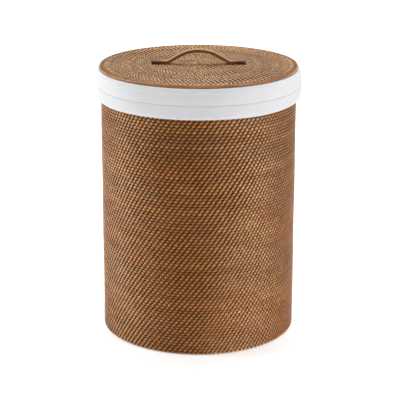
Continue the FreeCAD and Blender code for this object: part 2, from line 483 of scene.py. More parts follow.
@dataclass(frozen=True)
class CaneCoreFinish:
    """Dull round cane seen in the gaps between the stitches."""

    name: str
    light: Colour
    dark: Colour
    grain_depth: float = 0.0002

    def build(self) -> bpy.types.Material:
        """Wire the material."""
        r = Recipe(self.name)
        place = r.place()
        broad = r.noise(place, 14.0, 3.0)
        fine = r.noise(place, 420.0, 2.0, 0.7)
        blend = r.math("MULTIPLY_ADD", fine, 0.5, r.math("MULTIPLY", broad, 0.5))
        r.colour(r.ramp(blend, (0.35, self.dark), (0.65, self.light)))
        r.rough(fine, 0.25, 0.62)
        r.bump(fine, self.grain_depth, 0.5)
        r.fixed(specular_ior_level=0.06)
        return r.material


@dataclass(frozen=True)
class PeeledCaneFinish:
    """Smooth varnished cane with long fibres, nodes and a scarfed joint.

    The pieces carry "grain": along the cane, across it, and a fixed seed.
    """

    name: str
    light: Colour
    middle: Colour
    dark: Colour
    joint_at: float = 0.0
    joint_slope: float = 3.2
    joint_width: float = 1.1 * MM
    node_gap: float = 0.21
    node_width: float = 1.6 * MM

    def build(self) -> bpy.types.Material:
        """Wire the material."""
        r = Recipe(self.name)
        grain = r.attribute("grain")
        along, across, _ = r.split(grain)
        fibres = r.noise(r.stretch(grain, 9.0, 900.0, 30.0), 1.0, 4.0, 0.6)
        clouds = r.noise(r.stretch(grain, 14.0, 60.0, 30.0), 1.0, 2.0)
        blend = r.math("ADD", r.math("MULTIPLY", fibres, 0.55),
                       r.math("MULTIPLY", clouds, 0.45))
        base = r.ramp(blend, (0.36, self.dark), (0.50, self.middle), (0.64, self.light))
        slope = r.math("MULTIPLY_ADD", across, self.joint_slope, along)
        off = r.math("ABSOLUTE", r.math("SUBTRACT", slope, self.joint_at))
        scarf = r.math("SUBTRACT", 1.0, r.math("DIVIDE", off, self.joint_width), clamp=True)
        node = r.math("PINGPONG", along, self.node_gap)
        knot = r.math("SUBTRACT", 1.0, r.math("DIVIDE", node, self.node_width), clamp=True)
        mark = r.math("MAXIMUM", r.math("MULTIPLY", knot, 0.45), scarf)
        r.colour(r.mix(mark, base, tuple(c * 0.35 for c in self.dark)))
        r.rough(fibres, 0.25, 0.22)
        r.bump(r.math("SUBTRACT", fibres, r.math("MULTIPLY", scarf, 2.0)), 0.00018, 0.6)
        r.fixed(coat_weight=0.22, coat_roughness=0.24, specular_ior_level=0.4)
        return r.material


@dataclass(frozen=True)
class StrapFinish:
    """Bent cane strap, with painted light: a pale lit skin on its upward face, dark painted
    shade on its sides, underside and feet.

    The piece carries "grain": along the strap, across it, and how far a point
    faces up out of the strap from 0 to 1, which marks where the painted top light ends.
    """

    name: str
    # painted light: top and top_dark colour the upward face as if lit from above
    top: Colour = (0.620, 0.340, 0.155)
    top_dark: Colour = (0.440, 0.205, 0.078)
    # painted shade: colour of the sides and underside
    side: Colour = (0.190, 0.070, 0.014)
    # painted shade: colour of the feet, standing for their contact shadow
    foot: Colour = (0.130, 0.048, 0.012)
    # the painted shade of the feet starts foot_from out from the middle and fades in over
    # foot_fade
    foot_from: float = 66 * MM
    foot_fade: float = 14 * MM

    def build(self) -> bpy.types.Material:
        """Wire the material."""
        r = Recipe(self.name)
        grain = r.attribute("grain")
        lit_top = r.split(grain)[2]
        fibres = r.noise(r.stretch(grain, 14.0, 1100.0, 0.0), 1.0, 4.0, 0.6)
        skin = r.ramp(fibres, (0.35, self.top_dark), (0.62, self.top))
        # painted shade: the colour darkens towards the feet, for their contact shadow
        out = r.math("ABSOLUTE", r.split(r.place())[0])
        past = r.math("SUBTRACT", out, self.foot_from)
        painted_shading = r.math("DIVIDE", past, self.foot_fade, clamp=True)
        skin = r.mix(r.math("MULTIPLY", painted_shading, 0.85), skin, self.foot)
        # painted light: the upward face takes the pale skin, the sides and underside the
        # dark painted shade
        rim = r.ramp(lit_top, (0.55, (0, 0, 0)), (0.95, (1, 1, 1)))
        edge = r.mix(fibres, tuple(c * 0.7 for c in self.side),
                     tuple(c * 1.5 for c in self.side))
        edge = r.mix(painted_shading, edge, tuple(c * 0.5 for c in self.foot))
        r.colour(r.mix(rim, edge, skin))
        r.rough(fibres, 0.25, 0.25)
        r.bump(fibres, 0.0002, 0.6)
        r.fixed(coat_weight=0.3, coat_roughness=0.2)
        return r.material


@dataclass(frozen=True)
class CottonFinish:
    """Bleached plain-weave cotton with its threads as bumps."""

    name: str
    tint: Colour
    thread: float = 0.85 * MM

    def build(self) -> bpy.types.Material:
        """Wire the material."""
        r = Recipe(self.name)
        cloth = r.node("ShaderNodeUVMap", uv_map="cloth").outputs[0]
        u, v, _ = r.split(cloth)
        across = r.math("SINE", r.math("MULTIPLY", u, 2 * math.pi / self.thread))
        along = r.math("SINE", r.math("MULTIPLY", v, 2 * math.pi / self.thread))
        weave = r.math("MULTIPLY", across, along)
        slubs = r.noise(r.stretch(cloth, 40.0, 900.0, 1.0), 1.0, 3.0)
        clouds = r.noise(r.place(), 11.0, 2.0)
        shade = r.math("ADD", r.math("MULTIPLY_ADD", weave, 0.015, 0.90),
                       r.math("MULTIPLY", slubs, 0.10))
        r.colour(r.shade(self.tint, r.math("SUBTRACT", clouds, 0.5), 0.05, shade))
        r.rough(slubs, 0.1, 0.82)
        r.bump(r.math("ADD", r.math("MULTIPLY", weave, 0.5), slubs), 0.00012, 0.5)
        r.fixed(sheen_weight=0.25, sheen_roughness=0.5, specular_ior_level=0.2)
        return r.material


@dataclass(frozen=True)
class ThreadFinish:
    """Twisted cotton sewing thread."""

    name: str
    tint: Colour

    def build(self) -> bpy.types.Material:
        """Wire the material."""
        r = Recipe(self.name)
        twist = r.noise(r.place(), 2600.0, 2.0)
        r.colour(r.shade(self.tint, twist, 0.35, 0.75))
        r.bump(twist, 0.0001, 0.5)
        r.fixed(roughness=0.7, sheen_weight=0.2)
        return r.material


@dataclass(frozen=True)
class MetalFinish:
    """Plain steel of the hidden screws, washers and nails, a little dulled."""

    name: str
    tint: Colour
    gloss: float = 0.35
    metal: float = 0.9

    def build(self) -> bpy.types.Material:
        """Wire the material."""
        r = Recipe(self.name)
        dull = r.noise(r.place(), 900.0, 3.0)
        r.colour(r.shade(self.tint, dull, 0.4, 0.7))
        r.rough(dull, 0.25, self.gloss - 0.1)
        r.fixed(metallic=self.metal)
        return r.material


# ---------------------------------------------------------------------------
# Coiling
# ---------------------------------------------------------------------------


@dataclass(frozen=True)
class Stitch:
    """One turn of split rattan round the coil, modelled as a closed band."""
    """One turn of split rattan round the coil, modelled as a closed band."""

    half_height: float
    half_depth: float
    half_width: float
    lean: float
    crown: float = 0.95 * MM
    bite: float = 0.35
    crown_fall: float = 0.55
    flatness: float = 0.70
    length_share: float = 1.6
    # how much painted shade darkens the strand where it dives between the coils
    dive_shade_fall: float = 0.45
    turns: tuple[float, ...] = (8, 34, 66, 90, 114, 146, 172, 225, 315)

    def build(self) -> tuple[np.ndarray, np.ndarray, np.ndarray]:
        """Shape a slim torus into the band.

        Returns:
            Vertices as (along the coil, across the rounds, out of the face),
            faces, and for each vertex its (across, along, crown) on the strand, where crown
            is the painted shade share: 1 on the crown, less at the edges and ends.
        """
        deselect_all()
        bpy.ops.mesh.primitive_torus_add(
            major_segments=len(self.turns), minor_segments=3,
            major_radius=1.0, minor_radius=0.2,
        )
        ring = added("stitch_form")
        points, grain = [], []
        perimeter = 2 * (self.half_height + self.half_depth) * self.length_share
        for degrees in self.turns:
            turn = math.radians(degrees)
            up, out = math.cos(turn), math.sin(turn)
            out = math.copysign(abs(out) ** self.flatness, out)
            width = self.half_width * (1 - self.bite * abs(up) ** 3)
            middle = np.array([self.lean * up / 2, self.half_height * up,
                               self.half_depth * out])
            rise = np.array([0.0, up, out]) * self.crown
            rise *= (1 - self.crown_fall * abs(up) ** 3) / max(1e-9, math.hypot(up, out))
            along = perimeter * degrees / 360
            # painted shade: the strand darkens where it dives between the coils
            painted_shading = 1 - self.dive_shade_fall * abs(up) ** 4
            for side, lift in ((0.0, 1.0), (1.0, 0.0), (-1.0, 0.0)):
                points.append(middle + rise * lift + np.array([side * width, 0, 0]))
                grain.append((side * width, along, lift * painted_shading))
        set_points(ring, np.array(points))
        face_outwards(ring)
        points, faces = take_apart(ring)
        return points, np.array(faces), np.array(grain)


@dataclass(frozen=True)
class Spacing:
    """How close together the weaver set the stitches round the wall.

    The stitches are a pitch apart on the plain part. From an upright line that
    leans with the climb of the work they are closer together, and closer still
    on the far left. The lines run on to the back. Angles are in degrees from the
    front, to the right.
    """

    pitch: float = 10.55 * MM
    line_at_floor: float = -8.0
    line_climb: float = 90.0
    step: float = 0.14
    step_width: float = 14.0
    crowd: float = 0.10
    crowd_middle: float = 12.0
    crowd_width: float = 8.0
    crowd_top: float = 320 * MM
    crowd_fade: float = 40 * MM
    left_gain: float = 0.22
    left_from: float = -20.0
    left_width: float = 40.0
    left_at_floor: float = 0.45
    left_full: float = 450 * MM
    evened_from: float = 100.0

    def density(self, degrees: np.ndarray, height: float) -> np.ndarray:
        """Stitches for each plain one.

        Args:
            degrees: angle from the front, to the right, from -180 to 180.
            height: height of the round.

        Returns:
            One figure for each angle.
        """
        past = degrees - self.line_at_floor - self.line_climb * height
        right = self.step * eased(past / self.step_width)
        bump = self.crowd * np.exp(-(((past - self.crowd_middle) / self.crowd_width) ** 2))
        bump *= min(1.0, max(0.0, (self.crowd_top - height) / self.crowd_fade))
        far = eased((self.left_from - degrees) / self.left_width)
        grown = (1 - self.left_at_floor) * min(1.0, height / self.left_full)
        return 1 + right + bump + self.left_gain * far * (self.left_at_floor + grown)

    def shares(self, radius: float, height: float, phase: float) -> np.ndarray:
        """Places of the stitches of one round, as shares from the back.

        Args:
            radius: radius of the round.
            height: height of the round.
            phase: how far the stitch nearest the front stands along its pitch.

        Returns:
            Shares from 0 to 1.
        """
        degrees = np.linspace(-180, 180, 1441)
        step = math.radians(degrees[1] - degrees[0]) * radius / self.pitch
        dense = self.density(degrees, height)
        count = np.concatenate([[0.0], np.cumsum((dense[1:] + dense[:-1]) / 2 * step)])
        count -= np.interp(0.0, degrees, count)
        # the back takes up what is left over, so that the round closes evenly
        total = count[-1] - count[0]
        behind = np.abs(degrees) - self.evened_from
        behind = np.clip(behind / (180 - self.evened_from), 0, 1)
        count += np.sign(degrees) * behind * behind * (round(total) - total) / 2
        whole = np.arange(math.ceil(count[0] - phase), math.ceil(count[-1] - phase))
        return (np.interp(whole + phase, count, degrees) + 180) / 360


@dataclass(frozen=True)
class Course:
    """One round of coiled cane, stitched evenly unless it has its own spacing.

    It starts at the given radius and level. Over the last step_share of the
    turn it climbs by climb_radius and climb_level to the next round.
    """

    radius: float
    level: float
    climb_radius: float = 0.0
    climb_level: float = 0.0
    step_share: float = 1.0
    stitches: int = 0
    phase: float = 0.0
    start: float = 0.0
    end: float = 1.0
    spacing: Spacing | None = None

    def stitch_shares(self) -> np.ndarray:
        """Places of the stitches, as shares of the round from the back."""
        if self.spacing:
            share = self.spacing.shares(self.radius, self.level, self.phase)
        else:
            share = (np.arange(self.stitches) + self.phase % 1.0) / self.stitches
            share = np.sort((share + 0.5) % 1.0)
        return share[(share >= self.start) & (share <= self.end)]

    def at(self, share: np.ndarray) -> np.ndarray:
        """Places on the coil's centre line.

        Args:
            share: how far round from the back, from 0 to 1.

        Returns:
            One XYZ row for each share.
        """
        ramp = (share - 1 + self.step_share) / self.step_share
        ramp = eased(ramp) if self.step_share < 1 else np.clip(ramp, 0, 1)
        angle = BACK + 2 * math.pi * share
        radius = self.radius + self.climb_radius * ramp
        level = self.level + self.climb_level * ramp
        return np.stack(
            [radius * np.cos(angle), radius * np.sin(angle),
             np.broadcast_to(level, angle.shape)], axis=1,
        )


@dataclass
class Coiling:
    """A length of coiled cane with the strands that bind it."""

    name: str
    courses: list[Course]
    stitch: Stitch
    side: Side
    cane_radius: float
    seed: int
    jitter: float = 0.16 * MM
    jitter_shares: tuple[float, float, float] = (1.0, 0.5, 0.6)
    width_spread: float = 0.09
    lean_spread: float = 0.25
    colour_run: tuple[int, int] = (22, 60)
    wobble: float = 0.25 * MM
    # painted sheen: where the strands are paled as if by the side lamps' glancing light:
    # degrees from the front, spread, amount
    painted_sheen: tuple[tuple[float, float, float], ...] = ()

    def painted_sheen_share(self, middle: np.ndarray, rng: np.random.Generator) -> np.ndarray:
        """How much painted sheen pales each stitch.

        Args:
            middle: centres of the stitches.
            rng: the seeded source of variation.

        Returns:
            One figure, mostly from 0 to 1, for each stitch.
        """
        degrees = np.degrees(np.arctan2(middle[:, 0], -middle[:, 1]))
        total = np.zeros(len(middle))
        for place, spread, amount in self.painted_sheen:
            gap = (degrees - place + 180) % 360 - 180
            total += amount * np.exp(-((gap / spread) ** 2))
        uneven = 0.55 + 0.45 * np.sin(middle[:, 2] * 47 + degrees * 0.05) ** 2
        return total * uneven * rng.uniform(0.7, 1.3, len(middle))

    def frames(self) -> tuple[np.ndarray, np.ndarray, np.ndarray, np.ndarray]:
        """Work out where every stitch sits.

        Returns:
            Centres and the three axes of each stitch.
        """
        centres, ahead = [], []
        for course in self.courses:
            share = course.stitch_shares()
            centres.append(course.at(share))
            ahead.append(course.at(share + 1e-4) - course.at(share - 1e-4))
        middle = np.concatenate(centres)
        along = unit(np.concatenate(ahead))
        if self.side is Side.OUTWARD:
            out = unit(middle * (1.0, 1.0, 0.0))
        else:
            out = np.tile((0.0, 0.0, 1.0), (len(middle), 1))
        return middle, along, np.cross(out, along), out

    def strands(self, rng: np.random.Generator, count: int) -> np.ndarray:
        """Give each run of stitches made from one strand the same tint.

        Args:
            rng: the seeded source of variation.
            count: how many stitches there are.

        Returns:
            One tint from 0 to 1 for each stitch.
        """
        tint = np.empty(count)
        place = 0
        while place < count:
            run = int(rng.integers(*self.colour_run))
            tint[place:place + run] = rng.random()
            place += run
        return tint

    def build_lashing(self, parts: int = 1) -> list[bpy.types.Object]:
        """Copy the stitch to every place on the coil.

        Args:
            parts: how many pieces to share the stitches between.

        Returns:
            The pieces, lowest or innermost first.
        """
        form, faces, grain = self.stitch.build()
        rng = np.random.default_rng(self.seed)
        middle, along, across, out = self.frames()
        count = len(middle)
        shift = rng.normal(0, self.jitter, (count, 3)) * self.jitter_shares
        swell = 1 + rng.normal(0, self.width_spread, (count, 1))
        skew = 1 + rng.normal(0, self.lean_spread, (count, 1))
        slope = form[:, 1] / self.stitch.half_height * self.stitch.lean / 2
        u = (form[:, 0] - slope) * swell + slope * skew + shift[:, :1]
        v = form[:, 1] + shift[:, 1:2]
        w = form[:, 2] + shift[:, 2:3] * np.sign(form[:, 2])
        if self.side is Side.OUTWARD:
            angle = polar(middle)[1]
            wave = np.sin(3 * angle + middle[:, 2] * 31 + self.seed)
            w = w + self.wobble * wave[:, None]
        points = middle[:, None, :] + sum(
            part[:, :, None] * axis[:, None, :]
            for part, axis in ((u, along), (v, across), (w, out))
        )
        tint = self.strands(rng, count)
        stored = {name: np.zeros((count, len(form), 3))
                  for name in ("strand", "grain", "painted_sheen")}
        stored["strand"][:, :, 0] = tint[:, None]
        stored["strand"][:, :, 1] = rng.random(count)[:, None]
        # painted shade share of each vertex
        stored["strand"][:, :, 2] = grain[:, 2]
        stored["grain"][:, :, :2] = grain[:, :2]
        stored["grain"][:, :, 2] = rng.random(count)[:, None]
        # painted sheen share of each stitch, stored in the "faded" attribute
        stored["painted_sheen"][:, :, 0] = self.painted_sheen_share(middle, rng)[:, None]
        pieces = []
        for number, chosen in enumerate(np.array_split(np.arange(count), parts)):
            label = self.name if parts == 1 else f"{self.name}_{number + 1}"
            offset = (np.arange(len(chosen)) * len(form))[:, None, None]
            joined = (faces[None] + offset).reshape(-1, faces.shape[1])
            piece = mesh_piece(label, points[chosen].reshape(-1, 3), joined)
            for name, values in stored.items():
                store(piece, name, values[chosen].reshape(-1, 3))
            smooth(piece, EDGE_ANGLE)
            pieces.append(piece)
        return pieces

    def build_cane(self, spacing: float = 0.012) -> bpy.types.Object:
        """Sweep round cane along the whole coil.

        Args:
            spacing: distance between rings of the sweep, in metres.

        Returns:
            The cane as one mesh with closed ends.
        """
        path = []
        for course in self.courses:
            length = 2 * math.pi * (course.radius + course.climb_radius / 2)
            count = max(14, int(length / spacing))
            share = np.linspace(course.start, course.end, count, endpoint=False)
            path.append(course.at(share))
        path.append(self.courses[-1].at(np.array([self.courses[-1].end])))
        line = np.concatenate(path)
        curve = bpy.data.curves.new(self.name + "_cane", "CURVE")
        curve.dimensions = "3D"
        spline = curve.splines.new("POLY")
        spline.points.add(len(line) - 1)
        flat = np.concatenate([line, np.ones((len(line), 1))], axis=1)
        spline.points.foreach_set("co", flat.ravel())
        curve.bevel_depth = self.cane_radius
        curve.bevel_resolution = 1
        curve.use_fill_caps = True
        piece = bpy.data.objects.new(self.name + "_cane", curve)
        bpy.context.collection.objects.link(piece)
        take(piece)
        bpy.ops.object.convert(target="MESH")
        piece = bpy.context.active_object
        piece.data.name = piece.name
        face_outwards(piece)
        smooth(piece)
        return piece

    def bind(
        self, body: str, looks: tuple, slots: tuple[str, str], nodes: tuple[str, str],
        parts: int = 1, ring_gap: float = 0.012,
    ) -> None:
        """Build and dress the lashing and then the cane.

        Args:
            body: the CAD body they ride on.
            looks: the finishes of lashing and cane.
            slots: the record's material slots of lashing and cane.
            nodes: the CAD nodes of lashing and cane.
            parts: how many pieces to share the stitches between.
            ring_gap: distance between rings of the cane's sweep.
        """
        for piece in self.build_lashing(parts):
            dress(piece, looks[0], body, slots[0], nodes[0])
        dress(self.build_cane(ring_gap), looks[1], body, slots[1], nodes[1])


def round_of(radius: float, level: float, pitch: float, phase: float) -> Course:
    """One closed round of a hoop, with stitches about a pitch apart."""
    count = round(2 * math.pi * radius / pitch)
    return Course(radius, level, stitches=count, phase=phase)


def dress(
    piece: bpy.types.Object, material: bpy.types.Material, body: str, slot: str,
    *nodes: str,
) -> None:
    """Give a piece its finish and its body, and hide the CAD nodes it stands for.

    Args:
        piece: the new piece.
        material: its finish.
        body: the CAD body it rides on.
        slot: not used.
        *nodes: the CAD nodes it replaces.
    """
    piece.data.materials.clear()
    piece.data.materials.append(material)
    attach(piece, body)
    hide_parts(*nodes)
    log.info("%s: %d faces", piece.name, len(piece.data.polygons))


# ---------------------------------------------------------------------------
# Sub-assemblies
# ---------------------------------------------------------------------------


@dataclass
class Palette:
    """Every finish of the basket, built once."""

    wall_tints: tuple[Colour, ...] = (
        (0.312, 0.094, 0.011), (0.380, 0.126, 0.017), (0.242, 0.067, 0.007),
        (0.430, 0.158, 0.022), (0.328, 0.110, 0.012), (0.222, 0.072, 0.010),
        (0.362, 0.110, 0.010), (0.274, 0.079, 0.010), (0.296, 0.106, 0.014),
    )
    lid_tints: tuple[Colour, ...] = (
        (0.505, 0.252, 0.112), (0.560, 0.292, 0.134), (0.456, 0.220, 0.094),
        (0.600, 0.328, 0.158), (0.524, 0.244, 0.104), (0.422, 0.204, 0.090),
    )

    def build(self) -> dict[str, bpy.types.Material]:
        """Make the materials.

        Returns:
            Materials by a short word for where they go.
        """
        return {
            "wall": LashingFinish("split_rattan_brown", self.wall_tints).build(),
            # the lid's rattan gets deeper painted shade at its strand edges (edge_shade
            # 0.38)
            "lid": LashingFinish(
                "split_rattan_tan", self.lid_tints, edge_shade=0.38,
                gloss=0.45, golden=(1.0, 0.98, 0.92), rosy=(0.97, 0.93, 1.0),
            ).build(),
            "core": CaneCoreFinish(
                "round_cane", (0.240, 0.078, 0.014), (0.120, 0.036, 0.006)
            ).build(),
            # painted shade: near-black cane, so that the gaps of the lid and its inner hoop
            # read as deep shade
            "lid_core_shaded": CaneCoreFinish(
                "round_cane_lid_shaded", (0.085, 0.030, 0.010), (0.038, 0.013, 0.004)
            ).build(),
            "hoop": PeeledCaneFinish(
                "peeled_cane", (0.480, 0.218, 0.066), (0.345, 0.138, 0.035),
                (0.195, 0.068, 0.015), joint_at=-0.192,
            ).build(),
            "strap": StrapFinish("bent_cane_strap").build(),
            "cotton": CottonFinish("white_cotton", (0.80, 0.80, 0.822)).build(),
            "thread": ThreadFinish("cotton_thread", (0.76, 0.76, 0.78)).build(),
            "steel": MetalFinish("steel", (0.56, 0.54, 0.50)).build(),
            "nail": MetalFinish("browned_steel", (0.24, 0.12, 0.05), 0.55, 0.2).build(),
        }


@dataclass
class WovenBasket:
    """The coiled wall, base and rim."""

    looks: dict[str, bpy.types.Material]
    body: str = "basket"
    lean: float = 2.1 * MM
    half_width: float = 2.95 * MM
    half_depth: float = 2.3 * MM
    overlap: float = 1.05
    skin: float = 6.5 * MM
    cane_radius: float = 2.55 * MM
    step_share: float = 0.07
    foot_swell: float = 0.8 * MM
    foot: float = 1.6 * MM
    least_round: float = 3 * MM
    rim_pitch: float = 8.4 * MM
    rim_extra: float = 5.4 * MM
    rim_cane_radius: float = 2.85 * MM
    # painted sheen: zones where the wall's strands are paled, as degrees from the front,
    # spread, amount
    painted_sheen: tuple[tuple[float, float, float], ...] = (
        (-54.0, 22.0, 0.23), (34.0, 22.0, 0.36), (125.0, 28.0, 0.25), (-150.0, 28.0, 0.25)
    )
    # height of a round and shift of its stitches from the round below, by height
    heights: tuple[float, ...] = (0.0, 0.07, 0.16, 0.29, 0.40, 0.54)
    pitches: tuple[float, ...] = (
        5.92 * MM, 5.92 * MM, 5.85 * MM, 5.99 * MM, 6.20 * MM, 6.25 * MM
    )
    shifts: tuple[float, ...] = (0.442, 0.442, 0.426, 0.395, 0.414, 0.414)

    def levels(self, top: float) -> list[tuple[float, float]]:
        """Heights of the rounds in the wall.

        Args:
            top: height of the top of the last round.

        Returns:
            (centre, pitch) of each round from the floor up.
        """
        edges = [self.foot]
        while edges[-1] < top - self.least_round:
            edges.append(edges[-1] + float(np.interp(edges[-1], self.heights, self.pitches)))
        scale = (top - self.foot) / (edges[-1] - self.foot)
        edges = [self.foot + (edge - self.foot) * scale for edge in edges]
        return [((a + b) / 2, b - a) for a, b in zip(edges, edges[1:])]

    def bound(self, coiling: Coiling, place: str, **options) -> None:
        """Dress a coiling of the wall's own rattan for a place such as the rim."""
        cane = "rim_hoop" if place == "rim" else place + "_coil"
        coiling.bind(
            self.body, (self.looks["wall"], self.looks["core"]),
            ("lashing", "cane_core"), (place + "_lashing", cane), **options,
        )

    def build_wall(self) -> None:
        """Build the wall's cane and its lashing in four bands."""
        low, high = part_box("wall_coil")
        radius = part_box("wall_lashing")[1].x - self.skin / 2
        rounds = self.levels(high.z - low.z)
        courses = []
        phase = 0.0
        for number, (level, pitch) in enumerate(rounds):
            last = number == len(rounds) - 1
            wide = self.foot_swell * (1 - level / high.z)
            courses.append(Course(
                radius + wide, level, climb_level=0.0 if last else pitch,
                step_share=self.step_share, phase=phase,
                end=1.0 - self.step_share * last, spacing=Spacing(),
            ))
            phase += float(np.interp(level, self.heights, self.shifts))
        mean = (high.z - low.z) / len(rounds)
        stitch = Stitch(mean / 2 * self.overlap, self.half_depth, self.half_width, self.lean)
        wall = Coiling("wall_weave", courses, stitch, Side.OUTWARD, self.cane_radius,
                       seed=11, painted_sheen=self.painted_sheen)
        self.bound(wall, "wall", parts=4, ring_gap=0.0135)

    def build_base(self) -> None:
        """Build the flat spiral in the bottom."""
        base = FlatSpiral("base_weave", seed=23).wind("base_lashing")
        self.bound(base, "base", ring_gap=0.010)

    def build_rim(self) -> None:
        """Build the thicker last coil at the mouth with its wrapping."""
        low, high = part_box("rim_lashing")
        width = 2 * (high.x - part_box("rim_hoop")[1].x) + self.rim_extra
        course = round_of(high.x - width / 2, (low.z + high.z) / 2, self.rim_pitch, 0.2)
        stitch = Stitch((high.z - low.z) / 2 - 0.9 * MM, width / 2 - Stitch.crown,
                        3.3 * MM, 2.4 * MM)
        rim = Coiling("rim_weave", [course], stitch, Side.OUTWARD, self.rim_cane_radius,
                      seed=31, wobble=0.0)
        self.bound(rim, "rim")

    def build(self) -> None:
        """Build the whole basket."""
        self.build_wall()
        self.build_base()
        self.build_rim()


@dataclass
class FlatSpiral:
    """A flat disc wound from one cane and bound on both faces."""

    name: str
    seed: int
    pitch: float = 5.92 * MM
    stitches_added: int = 4
    row_shift: float = -0.589
    wave: float = 0.34
    wave_rounds: float = 11.0
    lean: float = 1.2 * MM
    half_width: float = 2.15 * MM
    overlap: float = 1.12
    cane_radius: float = 2.0 * MM
    hole: float = 3.0 * MM

    def phase(self, number: int) -> float:
        """Where the stitches of a round start, so that they line up in waves."""
        swing = self.wave * math.sin(2 * math.pi * number / self.wave_rounds)
        return number * self.row_shift + swing

    def wind(self, node: str) -> Coiling:
        """Wind the cane out from the middle.

        Args:
            node: the CAD node of the disc's lashing, which gives the sizes.

        Returns:
            The coiling, ready to be bound.
        """
        low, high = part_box(node)
        level = (low.z + high.z) / 2
        last = high.x - self.pitch / 2
        rounds = int(last / self.pitch)
        first = last - rounds * self.pitch
        courses = [
            Course(
                first + number * self.pitch, level, self.pitch,
                stitches=self.stitches_added * (number + 1), phase=self.phase(number),
                start=0.0 if number else max(0.0, (self.hole - first) / self.pitch),
            )
            for number in range(rounds)
        ]
        courses.append(Course(
            last, level, stitches=self.stitches_added * (rounds + 1),
            phase=self.phase(rounds), end=0.98,
        ))
        stitch = Stitch(
            self.pitch / 2 * self.overlap, (high.z - low.z) / 2 - Stitch.crown,
            self.half_width, self.lean, bite=0.10, crown_fall=0.20,
        )
        return Coiling(self.name, courses, stitch, Side.UPWARD, self.cane_radius, self.seed)


